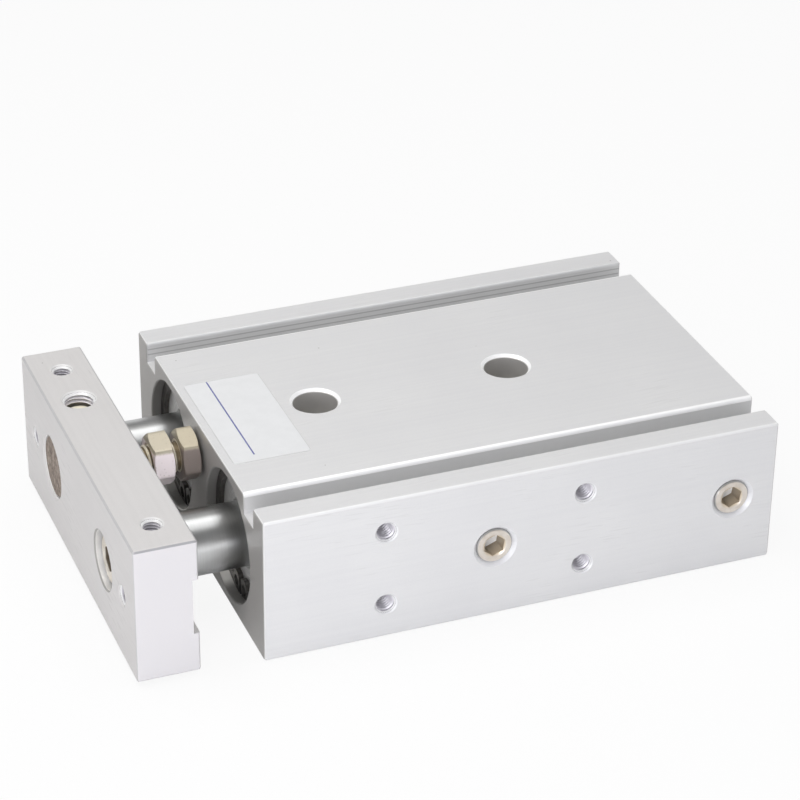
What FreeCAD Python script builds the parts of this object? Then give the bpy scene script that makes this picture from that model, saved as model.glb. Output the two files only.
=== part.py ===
import FreeCAD, Part
import math
import os

# Twin rod pneumatic cylinder: two pistons side by side in one housing push a common end plate.
# Millimetres, +Z up. X runs along the rods, which extend towards -X out of the rod end.
# The origin is the centre of the housing's underside. Side a is at -Y, side b at +Y.

# Travel and bores
stroke = 50.0
bore_diameter = 32.0
rod_diameter = 16.0
web_between_bores = 13.0

# Housing walls and broken edges
top_wall = 3.0
side_wall = 10.5
long_edge_round = 0.6
land_edge_round = 1.0
end_edge_chamfer = 0.4

# Sensor slots in the top, beside the side flanges
flange_width = 7.3
slot_width = 6.5
slot_depth = 5.3

# Cover seats and retaining rings at both ends of the bores
seat_step = 0.5
mouth_chamfer = 0.3
ring_recess = 2.5
ring_thickness = 1.2
ring_groove_depth = 0.85
ring_width = 3.1
ring_lug_height = 5.6
ring_lug_span = 17.0
ring_gap_half = 3.0
ring_lug_hole = 2.8
ring_lug_round = 1.0
front_ring_turns = {"a": -3.0, "b": -10.0}

# Rod covers and head covers
rod_cover_length = 49.2
head_cover_length = 5.2
cover_edge_chamfer = 0.5
bearing_relief = 0.3
bearing_land = 14.0
rod_seal_front_wall = 1.2
rod_seal_width = 3.2
rod_seal_length = 4.2
rod_seal_lip = 1.6
rod_seal_lip_edge = 0.4
o_ring_section = 1.8
o_ring_squeeze = 0.3
o_ring_side_room = 0.3
rod_cover_o_ring_from_end = 5.0

# Pistons, from the rod side to the head side
front_boss_length = 4.4
rear_boss_length = 1.6
bumper_width = 4.5
bumper_thickness = 2.5
bumper_edge = 0.5
piston_side_clearance = 0.1
land_rim = 0.5
land_between_grooves = 1.2
piston_seal_width = 3.0
piston_seal_depth = 3.0
piston_seal_edge = 0.4
magnet_width = 2.0
magnet_depth = 2.6
spigot_diameter = 10.0
rivet_head_diameter = 12.0
rivet_head_height = 1.3
extend_gap = 0.6
retract_gap = 1.0

# Air ports in both sides, and the passage drilled across both bores at each port
port_diameter = 9.15
port_depth = 7.0
port_chamfer = 1.0
passage_diameter = 4.0
front_port_from_rod_cover = 5.0
rear_port_from_head_cover = 2.2
plug_length = 6.0
plug_recess = 0.4
plug_edge = 0.3
plug_socket_across_flats = 5.0
plug_socket_depth = 4.6
plug_socket_mouth_diameter = 6.4
plug_socket_turn = 38.0

# Mounting holes of the housing
mounting_hole_from_rod_end = 30.3
mounting_hole_pitch = 50.7
through_hole_diameter = 6.6
counterbore_diameter = 11.0
counterbore_depth = 7.0
counterbore_chamfer = 0.8
small_thread_diameter = 5.0
thread_chamfer = 0.4
side_thread_depth = 8.0
side_thread_spacing = 20.0

# End plate
plate_thickness = 15.4
plate_inset_side = 0.4
plate_inset_height = 1.2
plate_edge_round = 0.6
plate_groove_height = 14.6
plate_groove_depth = 1.5
plate_thread_from_rod = 15.7
plate_front_thread_depth = 11.0
plate_top_thread_depth = 10.0
rod_hole_chamfer = 0.5
rod_end_chamfer = 0.5
rod_end_recess = 0.5

# Cap screw that holds rod a, and set screw that holds rod b
screw_diameter = 8.0
cap_head_diameter = 13.0
cap_head_height = 8.0
cap_head_recess = 1.5
cap_head_edge = 0.6
screw_tip_chamfer = 0.6
cap_head_side_room = 0.75
cap_socket_across_flats = 6.0
cap_socket_depth = 4.0
cap_screw_engagement = 16.0
tapped_depth_spare = 3.0
set_screw_recess = 3.8
set_screw_flat_depth = 0.8
set_screw_flat_margin = 0.3
set_screw_socket_across_flats = 4.0
set_screw_socket_depth = 3.0
set_screw_edge = 0.6

# Bumper bolt, its lock nut and its pad, between the plate and the housing
bumper_above_axis = 10.8
bumper_across_flats = 12.0
bumper_head_height = 4.4
bumper_exposed_thread = 2.1
lock_nut_height = 5.0
lock_nut_gap = 3.0
bumper_engagement = 8.0
bumper_hole_spare = 1.0
head_turn = 48.0
nut_turn = 46.0
pad_diameter = 7.0
pad_proud = 0.8
pad_seat_depth = 2.0
pad_stop_gap = 0.1

# Fits, as radial or one-sided clearances
running_clearance = 0.04
static_clearance = 0.02
thread_clearance = 0.05
groove_side_clearance = 0.1
loose_clearance = 0.2

# Shape constants of cut tools and hexagons
drill_point_angle = 118.0
tool_overrun = 1.0
hex_chamfer_angle = 25.0
hex_chamfer_circle = 0.985
same_place = 1e-6

# Layout worked out from the sizes above
bore_radius = bore_diameter / 2
rod_radius = rod_diameter / 2
seat_radius = bore_radius + seat_step
ring_groove_radius = seat_radius + ring_groove_depth
ring_groove_width = ring_thickness + groove_side_clearance
rod_pitch = bore_diameter + web_between_bores
sides = {"a": -rod_pitch / 2, "b": rod_pitch / 2}

piston_land_length = (land_rim + piston_seal_width + groove_side_clearance + land_between_grooves
                      + magnet_width + groove_side_clearance + land_rim)
piston_length = front_boss_length + piston_land_length + rear_boss_length
piston_stack = bumper_thickness + piston_length + bumper_thickness
chamber_length = stroke + piston_stack + extend_gap + retract_gap
end_recess = ring_recess + ring_groove_width
housing_length = end_recess + rod_cover_length + chamber_length + head_cover_length + end_recess
housing_width = rod_pitch + bore_diameter + 2 * side_wall
housing_height = bore_diameter + 2 * top_wall
axis_height = housing_height / 2

rod_end = -housing_length / 2
head_end = housing_length / 2
rod_cover_front = rod_end + end_recess
chamber_front = rod_cover_front + rod_cover_length
chamber_rear = chamber_front + chamber_length
head_cover_rear = chamber_rear + head_cover_length
piston_rear = chamber_rear - retract_gap - bumper_thickness
piston_front = piston_rear - piston_length
ports_x = (chamber_front + front_port_from_rod_cover, chamber_rear - rear_port_from_head_cover)
mounting_holes_x = (rod_end + mounting_hole_from_rod_end,
                    rod_end + mounting_hole_from_rod_end + mounting_hole_pitch)

pad_face = rod_end - pad_stop_gap
bumper_head_front = pad_face - pad_proud
bumper_head_back = bumper_head_front - bumper_head_height
lock_nut_front = bumper_head_back - bumper_exposed_thread
lock_nut_back = lock_nut_front - lock_nut_height
plate_rear = lock_nut_back - lock_nut_gap
plate_groove_floor = plate_rear - plate_groove_depth
plate_front = plate_rear - plate_thickness
plate_middle = (plate_front + plate_rear) / 2
plate_top = housing_height - plate_inset_height
plate_bottom = plate_inset_height
plate_half_width = housing_width / 2 - plate_inset_side
plate_thread_y = rod_pitch / 2 + plate_thread_from_rod
bumper_z = axis_height + bumper_above_axis
cap_seat = plate_front + cap_head_recess + cap_head_height
set_screw_seat = axis_height + rod_radius - set_screw_flat_depth
screw_hole_radius = screw_diameter / 2 + thread_clearance

X_AXIS = FreeCAD.Vector(1, 0, 0)
Y_AXIS = FreeCAD.Vector(0, 1, 0)
Z_AXIS = FreeCAD.Vector(0, 0, 1)


def turned_x(points, y, z):
    """A turned piece about a line along X at y, z, from (x, radius) points of its half section."""
    corners = [FreeCAD.Vector(x, y, z + radius) for x, radius in points]
    section = Part.Face(Part.makePolygon(corners + corners[:1]))
    return section.revolve(FreeCAD.Vector(0, y, z), X_AXIS, 360)


def aimed(shape, start, direction):
    """A shape modelled on the Z axis, moved to start with its +Z turned to direction."""
    moved = shape.copy()
    moved.Placement = FreeCAD.Placement(start, FreeCAD.Rotation(Z_AXIS, direction))
    return moved


def turned(points):
    """A turned piece about the Z axis, from (radius, height) points of its half section."""
    corners = [FreeCAD.Vector(radius, 0, height) for radius, height in points]
    section = Part.Face(Part.makePolygon(corners + corners[:1]))
    return section.revolve(FreeCAD.Vector(0, 0, 0), Z_AXIS, 360)


def hexagon(across_flats, height):
    """A hexagonal prism on the Z axis with two flats facing along Y."""
    radius = across_flats / math.sqrt(3)
    angles = [math.radians(60 * corner) for corner in range(6)]
    corners = [FreeCAD.Vector(radius * math.cos(a), radius * math.sin(a), 0) for a in angles]
    return Part.Face(Part.makePolygon(corners + corners[:1])).extrude(Z_AXIS * height)


def chamfered_hexagon(across_flats, height):
    """A hexagonal prism whose corners are turned down to a cone at both ends."""
    corner = across_flats / math.sqrt(3)
    face = across_flats / 2 * hex_chamfer_circle
    drop = (corner - face) * math.tan(math.radians(hex_chamfer_angle))
    cone = turned([(0, 0), (face, 0), (corner, drop), (corner, height - drop), (face, height), (0, height)])
    return hexagon(across_flats, height).common(cone)


def drilled(mouth, direction, diameter, depth, chamfer):
    """The cutting shape of a drilled hole with a chamfered mouth and a drill point."""
    radius = diameter / 2
    point = radius / math.tan(math.radians(drill_point_angle / 2))
    outline = [(0, -tool_overrun), (radius + chamfer, -tool_overrun), (radius + chamfer, 0),
               (radius, chamfer), (radius, depth), (0, depth + point)]
    return aimed(turned(outline), mouth, direction)


def cut_all(shape, tools):
    """A shape after each cutting tool has been taken from it in turn."""
    for tool in tools:
        shape = shape.cut(tool)
    return shape


def along_x_edges(shape):
    """The straight edges of a shape that run along X."""
    return [edge for edge in shape.Edges if edge.BoundBox.YLength + edge.BoundBox.ZLength < same_place]


def rounded_along_x(shape, radius, corners):
    """A shape with its edges along X rounded where they pass through (distance from Y = 0, Z) corners."""
    picked = []
    for edge in along_x_edges(shape):
        place = edge.BoundBox.Center
        if any(math.hypot(abs(place.y) - y, place.z - z) < same_place for y, z in corners):
            picked.append(edge)
    return shape.makeFillet(radius, picked)


def end_face_edges(shape):
    """The edges of a shape that lie in its first and last faces across X."""
    box = shape.BoundBox
    flat = [edge for edge in shape.Edges if edge.BoundBox.XLength < same_place]
    return [edge for edge in flat
            if min(edge.BoundBox.XMin - box.XMin, box.XMax - edge.BoundBox.XMax) < same_place]


def housing_blank():
    """The extruded body with its two sensor slots and broken edges."""
    half = housing_width / 2
    slot_outer = half - flange_width
    slot_inner = slot_outer - slot_width
    slot_floor = housing_height - slot_depth
    right = [(half, 0), (half, housing_height), (slot_outer, housing_height), (slot_outer, slot_floor),
             (slot_inner, slot_floor), (slot_inner, housing_height)]
    outline = right + [(-y, z) for y, z in reversed(right)]
    corners = [FreeCAD.Vector(rod_end, y, z) for y, z in outline]
    blank = Part.Face(Part.makePolygon(corners + corners[:1])).extrude(X_AXIS * housing_length)
    blank = rounded_along_x(blank, long_edge_round,
                            [(half, 0), (half, housing_height), (slot_outer, housing_height)])
    blank = rounded_along_x(blank, land_edge_round, [(slot_inner, housing_height)])
    return blank.makeChamfer(end_edge_chamfer, end_face_edges(blank))


def bore_tool(y):
    """The stepped bore of one side: ring groove, cover seat, chamber, cover seat, ring groove."""
    mouth = seat_radius + mouth_chamfer
    front_half = [(rod_end - tool_overrun, 0), (rod_end - tool_overrun, mouth), (rod_end, mouth),
                  (rod_end + mouth_chamfer, seat_radius), (rod_end + ring_recess, seat_radius),
                  (rod_end + ring_recess, ring_groove_radius), (rod_cover_front, ring_groove_radius),
                  (rod_cover_front, seat_radius), (chamber_front, seat_radius), (chamber_front, bore_radius)]
    rear_half = [(chamber_rear, bore_radius), (chamber_rear, seat_radius), (head_cover_rear, seat_radius),
                 (head_cover_rear, ring_groove_radius), (head_end - ring_recess, ring_groove_radius),
                 (head_end - ring_recess, seat_radius), (head_end - mouth_chamfer, seat_radius),
                 (head_end, mouth), (head_end + tool_overrun, mouth), (head_end + tool_overrun, 0)]
    return turned_x(front_half + rear_half, y, axis_height)


def counterbored_hole(x):
    """A through hole for a cap screw, counterbored from above and from below."""
    seat = counterbore_diameter / 2
    rim = seat + counterbore_chamfer
    hole = through_hole_diameter / 2
    outline = [(0, -tool_overrun), (rim, -tool_overrun), (rim, 0), (seat, counterbore_chamfer),
               (seat, counterbore_depth), (hole, counterbore_depth),
               (hole, housing_height - counterbore_depth), (seat, housing_height - counterbore_depth),
               (seat, housing_height - counterbore_chamfer), (rim, housing_height),
               (rim, housing_height + tool_overrun), (0, housing_height + tool_overrun)]
    return aimed(turned(outline), FreeCAD.Vector(x, 0, 0), Z_AXIS)


def housing():
    """The body, with both bores, the ports and passages, and all mounting holes."""
    tools = [bore_tool(y) for y in sides.values()]
    for x in ports_x:
        start = FreeCAD.Vector(x, -housing_width / 2 + port_depth, axis_height)
        span = housing_width - 2 * port_depth
        tools.append(Part.makeCylinder(passage_diameter / 2, span, start, Y_AXIS))
    for x in mounting_holes_x:
        tools.append(counterbored_hole(x))
    for side in (-1, 1):
        inward = Y_AXIS * -side
        face_y = side * housing_width / 2
        for x in ports_x:
            mouth = FreeCAD.Vector(x, face_y, axis_height)
            tools.append(drilled(mouth, inward, port_diameter, port_depth, port_chamfer))
        for x in mounting_holes_x:
            for z in (axis_height - side_thread_spacing / 2, axis_height + side_thread_spacing / 2):
                mouth = FreeCAD.Vector(x, face_y, z)
                tools.append(drilled(mouth, inward, small_thread_diameter, side_thread_depth,
                                     thread_chamfer))
    return cut_all(housing_blank(), tools)


def o_ring(x, groove_floor, wall_radius, y):
    """A seated O-ring at x, just as thick as its groove is deep below the wall."""
    centre = (groove_floor + wall_radius) / 2
    section = (wall_radius - groove_floor) / 2 - static_clearance
    return Part.makeTorus(centre, section, FreeCAD.Vector(x, y, axis_height), X_AXIS)


def o_ring_groove(x):
    """Front wall, rear wall and floor radius of the groove that holds an O-ring at x."""
    half = o_ring_section / 2 + o_ring_side_room
    floor = seat_radius - o_ring_section + o_ring_squeeze
    return x - half, x + half, floor


def rod_cover_o_ring_x():
    """Where the O-ring sits on a rod cover."""
    return chamber_front - rod_cover_o_ring_from_end


def head_cover_o_ring_x():
    """Where the O-ring sits on a head cover."""
    return (chamber_rear + head_cover_rear) / 2


def rod_cover(y):
    """The long bearing bush that guides a rod, with grooves for the rod seal and the O-ring."""
    outside = seat_radius - static_clearance
    bearing = rod_radius + running_clearance
    relief = bearing + bearing_relief
    wall = rod_radius + loose_clearance
    seal_floor = rod_radius + rod_seal_width
    seal_start = rod_cover_front + rod_seal_front_wall
    seal_stop = seal_start + rod_seal_length + groove_side_clearance
    groove_start, groove_stop, groove_floor = o_ring_groove(rod_cover_o_ring_x())
    return turned_x([(rod_cover_front, wall + cover_edge_chamfer),
                     (rod_cover_front, outside - cover_edge_chamfer),
                     (rod_cover_front + cover_edge_chamfer, outside), (groove_start, outside),
                     (groove_start, groove_floor), (groove_stop, groove_floor), (groove_stop, outside),
                     (chamber_front, outside), (chamber_front, bearing),
                     (chamber_front - bearing_land, bearing), (chamber_front - bearing_land, relief),
                     (seal_stop + bearing_land, relief), (seal_stop + bearing_land, bearing),
                     (seal_stop, bearing), (seal_stop, seal_floor), (seal_start, seal_floor),
                     (seal_start, wall), (rod_cover_front + cover_edge_chamfer, wall)], y, axis_height)


def rod_seal(y):
    """The rod seal in the front of a rod cover, its back notched between two lips."""
    inside = rod_radius + running_clearance
    outside = rod_radius + rod_seal_width - static_clearance
    front = rod_cover_front + rod_seal_front_wall
    back = front + rod_seal_length
    notch = back - rod_seal_lip
    return turned_x([(front, inside), (front, outside), (back, outside), (back, outside - rod_seal_lip_edge),
                     (notch, (inside + outside) / 2), (back, inside + rod_seal_lip_edge), (back, inside)],
                    y, axis_height)


def head_cover(y):
    """The plug that closes a bore at the head end, with its O-ring groove."""
    outside = seat_radius - static_clearance
    groove_start, groove_stop, groove_floor = o_ring_groove(head_cover_o_ring_x())
    return turned_x([(chamber_rear, 0), (chamber_rear, outside), (groove_start, outside),
                     (groove_start, groove_floor), (groove_stop, groove_floor), (groove_stop, outside),
                     (head_cover_rear - cover_edge_chamfer, outside),
                     (head_cover_rear, outside - cover_edge_chamfer), (head_cover_rear, 0)], y, axis_height)


def wedge(first_angle, last_angle, reach):
    """A thin slice of a disc on the Z axis, between two angles measured from -Y."""
    angles = [math.radians(first_angle), math.radians(last_angle)]
    tips = [FreeCAD.Vector(reach * math.sin(a), -reach * math.cos(a), 0) for a in angles]
    origin = FreeCAD.Vector(0, 0, 0)
    return Part.Face(Part.makePolygon([origin] + tips + [origin])).extrude(Z_AXIS * ring_thickness)


def retaining_ring(x, y, turn):
    """An open spring ring with two drilled lugs, its gap turned by an angle from the bottom."""
    outer = ring_groove_radius - static_clearance
    lug_inner = outer - ring_lug_height
    lug_end = ring_gap_half + ring_lug_span
    reach = 2 * outer
    disc = Part.makeCylinder(outer, ring_thickness)
    ring = disc.cut(Part.makeCylinder(outer - ring_width, ring_thickness))
    lugs = disc.cut(Part.makeCylinder(lug_inner, ring_thickness))
    pair = [lugs.common(wedge(side * ring_gap_half, side * lug_end, reach)) for side in (-1, 1)]
    ring = ring.cut(wedge(-ring_gap_half, ring_gap_half, reach)).fuse(pair).removeSplitter()
    inner_corners = [edge for edge in ring.Edges if edge.BoundBox.ZLength > ring_thickness / 2
                     and math.hypot(edge.BoundBox.XMax, edge.BoundBox.YMax) < lug_inner + same_place]
    ring = ring.makeFillet(ring_lug_round, inner_corners)
    hole_radius = (lug_inner + outer) / 2
    for side in (-1, 1):
        angle = math.radians(side * (ring_gap_half + ring_lug_span / 2))
        centre = FreeCAD.Vector(hole_radius * math.sin(angle), -hole_radius * math.cos(angle), 0)
        ring = ring.cut(Part.makeCylinder(ring_lug_hole / 2, ring_thickness, centre))
    ring.rotate(FreeCAD.Vector(0, 0, 0), Z_AXIS, turn)
    upright = FreeCAD.Rotation(Y_AXIS, Z_AXIS, X_AXIS, "ZXY")
    ring.Placement = FreeCAD.Placement(FreeCAD.Vector(x, y, axis_height), upright).multiply(ring.Placement)
    return ring


def port_plug(x):
    """A plug screwed into a port of side a, with a countersunk hexagon socket in its face."""
    radius = port_diameter / 2 - thread_clearance
    body = turned([(0, 0), (radius - plug_edge, 0), (radius, plug_edge), (radius, plug_length - plug_edge),
                   (radius - plug_edge, plug_length), (0, plug_length)])
    socket = hexagon(plug_socket_across_flats, plug_socket_depth)
    socket.rotate(FreeCAD.Vector(0, 0, 0), Z_AXIS, plug_socket_turn)
    mouth = plug_socket_mouth_diameter / 2
    countersink = turned([(0, 0), (mouth, 0), (0, mouth * math.tan(math.radians(hex_chamfer_angle)))])
    body = cut_all(body, [socket, countersink])
    return aimed(body, FreeCAD.Vector(x, -housing_width / 2 + plug_recess, axis_height), Y_AXIS)


def end_plate():
    """The plate that joins both rods, with its holes and the groove across its rear face."""
    corner = FreeCAD.Vector(plate_front, -plate_half_width, plate_bottom)
    plate = Part.makeBox(plate_thickness, 2 * plate_half_width, plate_top - plate_bottom, corner)
    plate = plate.makeFillet(plate_edge_round, plate.Edges)
    groove_corner = FreeCAD.Vector(plate_groove_floor, -housing_width, axis_height - plate_groove_height / 2)
    groove = Part.makeBox(plate_groove_depth + tool_overrun, 2 * housing_width, plate_groove_height,
                          groove_corner)

    counterbore = cap_head_diameter / 2 + cap_head_side_room
    rim = counterbore + thread_chamfer
    cap_hole = turned_x([(plate_front - tool_overrun, 0), (plate_front - tool_overrun, rim),
                         (plate_front, rim), (plate_front + thread_chamfer, counterbore),
                         (cap_seat, counterbore),
                         (cap_seat, screw_hole_radius + loose_clearance),
                         (plate_rear, screw_hole_radius + loose_clearance), (plate_rear, 0)],
                        sides["a"], axis_height)
    rod_hole_radius = rod_radius + static_clearance
    rod_hole = turned_x([(plate_front - tool_overrun, 0),
                         (plate_front - tool_overrun, rod_hole_radius + rod_hole_chamfer),
                         (plate_front, rod_hole_radius + rod_hole_chamfer),
                         (plate_front + rod_hole_chamfer, rod_hole_radius), (plate_rear, rod_hole_radius),
                         (plate_rear, 0)], sides["b"], axis_height)
    set_screw_hole = turned([(0, -tool_overrun), (screw_hole_radius + thread_chamfer, -tool_overrun),
                             (screw_hole_radius + thread_chamfer, 0),
                             (screw_hole_radius, thread_chamfer),
                             (screw_hole_radius, plate_top - axis_height), (0, plate_top - axis_height)])
    tools = [groove, cap_hole, rod_hole,
             aimed(set_screw_hole, FreeCAD.Vector(plate_middle, sides["b"], plate_top), Z_AXIS * -1)]
    bumper_depth = bumper_engagement + lock_nut_gap + bumper_hole_spare
    bumper_mouth = FreeCAD.Vector(plate_rear, 0, bumper_z)
    tools.append(drilled(bumper_mouth, X_AXIS * -1, 2 * screw_hole_radius, bumper_depth, thread_chamfer))
    for y in (-plate_thread_y, plate_thread_y):
        front_mouth = FreeCAD.Vector(plate_front, y, axis_height)
        tools.append(drilled(front_mouth, X_AXIS, small_thread_diameter, plate_front_thread_depth,
                             thread_chamfer))
        top_mouth = FreeCAD.Vector(plate_middle, y, plate_top)
        tools.append(drilled(top_mouth, Z_AXIS * -1, small_thread_diameter, plate_top_thread_depth,
                             thread_chamfer))
    return cut_all(plate, tools)


def rod_tail():
    """The head end of a rod's half section: the shoulder, the spigot and its riveted head."""
    spigot = spigot_diameter / 2
    rivet_seat = piston_rear - rivet_head_height
    return [(piston_front, rod_radius), (piston_front, spigot), (rivet_seat, spigot),
            (rivet_seat, rivet_head_diameter / 2), (piston_rear, rivet_head_diameter / 2), (piston_rear, 0)]


def piston_rod_a():
    """The rod that butts against the plate's groove, keyed by two flats and tapped for the cap screw."""
    rod = turned_x([(plate_groove_floor, 0), (plate_groove_floor, rod_radius)] + rod_tail(),
                   sides["a"], axis_height)
    flat_half = plate_groove_height / 2 - static_clearance
    flat_length = plate_groove_depth + loose_clearance
    for low_z in (axis_height + flat_half, axis_height - flat_half - rod_diameter):
        corner = FreeCAD.Vector(plate_groove_floor, sides["a"] - rod_diameter, low_z)
        rod = rod.cut(Part.makeBox(flat_length, 2 * rod_diameter, rod_diameter, corner))
    mouth = FreeCAD.Vector(plate_groove_floor, sides["a"], axis_height)
    depth = cap_screw_engagement + tapped_depth_spare
    return rod.cut(drilled(mouth, X_AXIS, 2 * screw_hole_radius, depth, thread_chamfer))


def piston_rod_b():
    """The rod that passes through the plate and ends just inside its front, with a seat for the set screw."""
    end = plate_front + rod_end_recess
    rod = turned_x([(end, 0), (end, rod_radius - rod_end_chamfer), (end + rod_end_chamfer, rod_radius)]
                   + rod_tail(), sides["b"], axis_height)
    seat = FreeCAD.Vector(plate_middle, sides["b"], set_screw_seat)
    return rod.cut(Part.makeCylinder(screw_diameter / 2 + set_screw_flat_margin, rod_diameter, seat))


def piston_grooves():
    """The X stations of the seal groove and the magnet groove, front wall then rear wall of each."""
    seal_start = piston_front + front_boss_length + land_rim
    seal_stop = seal_start + piston_seal_width + groove_side_clearance
    magnet_start = seal_stop + land_between_grooves
    return seal_start, seal_stop, magnet_start, magnet_start + magnet_width + groove_side_clearance


def piston(y):
    """A piston riveted to its rod, with a boss at each end and grooves for the seal and magnet."""
    boss = rod_radius + bumper_width
    land = bore_radius - piston_side_clearance
    bore = spigot_diameter / 2 + static_clearance
    recess = rivet_head_diameter / 2 + static_clearance
    land_start = piston_front + front_boss_length
    land_stop = land_start + piston_land_length
    seal_start, seal_stop, magnet_start, magnet_stop = piston_grooves()
    seal_floor = bore_radius - piston_seal_depth
    magnet_floor = bore_radius - magnet_depth
    rivet_seat = piston_rear - rivet_head_height
    return turned_x([(piston_front, bore), (piston_front, boss), (land_start, boss), (land_start, land),
                     (seal_start, land), (seal_start, seal_floor), (seal_stop, seal_floor), (seal_stop, land),
                     (magnet_start, land), (magnet_start, magnet_floor), (magnet_stop, magnet_floor),
                     (magnet_stop, land), (land_stop, land), (land_stop, boss), (piston_rear, boss),
                     (piston_rear, recess), (rivet_seat, recess), (rivet_seat, bore)], y, axis_height)


def piston_seal(y):
    """The piston seal, its outer corners relieved to two lips."""
    start = piston_grooves()[0]
    stop = start + piston_seal_width
    inside = bore_radius - piston_seal_depth + static_clearance
    outside = bore_radius - running_clearance
    return turned_x([(start, inside), (start, outside - piston_seal_edge),
                     (start + piston_seal_edge, outside), (stop - piston_seal_edge, outside),
                     (stop, outside - piston_seal_edge), (stop, inside)], y, axis_height)


def magnet_ring(y):
    """The bonded magnet ring that a switch in the sensor slot detects."""
    start = piston_grooves()[2]
    inside = bore_radius - magnet_depth + static_clearance
    outside = bore_radius - piston_side_clearance - loose_clearance
    return turned_x([(start, inside), (start, outside), (start + magnet_width, outside),
                     (start + magnet_width, inside)], y, axis_height)


def piston_bumper(seated_face, free_face, inside, y):
    """A rubber ring on one end of a piston, its free edge chamfered."""
    outside = rod_radius + bumper_width
    edge = math.copysign(bumper_edge, seated_face - free_face)
    return turned_x([(seated_face, inside), (seated_face, outside), (free_face + edge, outside),
                     (free_face, outside - bumper_edge), (free_face, inside)], y, axis_height)


def front_bumper(y):
    """The bumper that meets the rod cover at full extension."""
    inside = rod_radius + loose_clearance
    return piston_bumper(piston_front, piston_front - bumper_thickness, inside, y)


def rear_bumper(y):
    """The bumper behind a piston, round the riveted head."""
    inside = rivet_head_diameter / 2 + loose_clearance
    return piston_bumper(piston_rear, piston_rear + bumper_thickness, inside, y)


def rod_cap_screw():
    """The socket cap screw that pulls rod a against the plate."""
    head = cap_head_diameter / 2
    shank = screw_diameter / 2
    top = cap_head_height
    tip = plate_groove_floor + cap_screw_engagement - cap_seat
    body = turned([(0, top), (head - cap_head_edge, top), (head, top - cap_head_edge), (head, 0),
                   (shank, 0), (shank, -tip + screw_tip_chamfer), (shank - screw_tip_chamfer, -tip),
                   (0, -tip)])
    socket = hexagon(cap_socket_across_flats, cap_socket_depth)
    socket.translate(Z_AXIS * (top - cap_socket_depth))
    return aimed(body.cut(socket), FreeCAD.Vector(cap_seat, sides["a"], axis_height), X_AXIS * -1)


def rod_set_screw():
    """The socket set screw in the top of the plate that clamps rod b."""
    radius = screw_diameter / 2
    length = plate_top - set_screw_recess - set_screw_seat
    body = turned([(0, 0), (radius - set_screw_edge, 0), (radius, set_screw_edge),
                   (radius, length - set_screw_edge), (radius - set_screw_edge, length), (0, length)])
    socket = hexagon(set_screw_socket_across_flats, set_screw_socket_depth)
    socket.translate(Z_AXIS * (length - set_screw_socket_depth))
    return aimed(body.cut(socket), FreeCAD.Vector(plate_middle, sides["b"], set_screw_seat), Z_AXIS)


def turned_hexagon(height, x, turn):
    """A chamfered hexagon of the bumper bolt, from x towards +X, turned about its axis."""
    shape = chamfered_hexagon(bumper_across_flats, height)
    shape = aimed(shape, FreeCAD.Vector(x, 0, bumper_z), X_AXIS)
    shape.rotate(FreeCAD.Vector(x, 0, bumper_z), X_AXIS, turn)
    return shape


def bumper_bolt():
    """The stroke adjusting bolt: a hexagon head recessed for the pad, and a threaded shank."""
    shank = screw_diameter / 2
    tip = plate_rear - bumper_engagement
    head = turned_hexagon(bumper_head_height, bumper_head_back, head_turn)
    pad_seat = pad_diameter / 2 + static_clearance
    seat_floor = bumper_head_front - pad_seat_depth
    recess = turned_x([(seat_floor, 0), (seat_floor, pad_seat), (bumper_head_front + tool_overrun, pad_seat),
                       (bumper_head_front + tool_overrun, 0)], 0, bumper_z)
    stem = turned_x([(tip, 0), (tip, shank - screw_tip_chamfer), (tip + screw_tip_chamfer, shank),
                     (bumper_head_back, shank), (bumper_head_back, 0)], 0, bumper_z)
    return head.cut(recess).fuse(stem).removeSplitter()


def lock_nut():
    """The thin nut that locks the bumper bolt."""
    nut = turned_hexagon(lock_nut_height, lock_nut_back, nut_turn)
    start = FreeCAD.Vector(lock_nut_back - tool_overrun, 0, bumper_z)
    length = lock_nut_height + 2 * tool_overrun
    return nut.cut(Part.makeCylinder(screw_hole_radius, length, start, X_AXIS))


def bumper_pad():
    """The urethane pad in the bolt head that meets the housing at full retraction."""
    radius = pad_diameter / 2
    back = bumper_head_front - pad_seat_depth
    edge = pad_proud / 2
    return turned_x([(back, 0), (back, radius), (pad_face - edge, radius), (pad_face, radius - edge),
                     (pad_face, 0)], 0, bumper_z)


nodes = {
    "housing": housing(),
    "port_plugs": Part.makeCompound([port_plug(x) for x in ports_x]),
    "end_plate": end_plate(),
    "piston_rod_a": piston_rod_a(),
    "piston_rod_b": piston_rod_b(),
    "rod_cap_screw": rod_cap_screw(),
    "rod_set_screw": rod_set_screw(),
    "bumper_bolt": bumper_bolt(),
    "lock_nut": lock_nut(),
    "bumper_pad": bumper_pad(),
}
for side, side_y in sides.items():
    rod_cover_floor = o_ring_groove(rod_cover_o_ring_x())[2]
    head_cover_floor = o_ring_groove(head_cover_o_ring_x())[2]
    nodes["rod_cover_" + side] = rod_cover(side_y)
    nodes["rod_seal_" + side] = rod_seal(side_y)
    nodes["rod_cover_o_ring_" + side] = o_ring(rod_cover_o_ring_x(), rod_cover_floor, seat_radius, side_y)
    front_ring_x = rod_cover_front - ring_thickness
    nodes["front_retaining_ring_" + side] = retaining_ring(front_ring_x, side_y, front_ring_turns[side])
    nodes["head_cover_" + side] = head_cover(side_y)
    nodes["head_cover_o_ring_" + side] = o_ring(head_cover_o_ring_x(), head_cover_floor, seat_radius, side_y)
    nodes["rear_retaining_ring_" + side] = retaining_ring(head_cover_rear, side_y, 0)
    nodes["piston_" + side] = piston(side_y)
    nodes["piston_seal_" + side] = piston_seal(side_y)
    nodes["magnet_ring_" + side] = magnet_ring(side_y)
    nodes["front_bumper_" + side] = front_bumper(side_y)
    nodes["rear_bumper_" + side] = rear_bumper(side_y)

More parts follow.
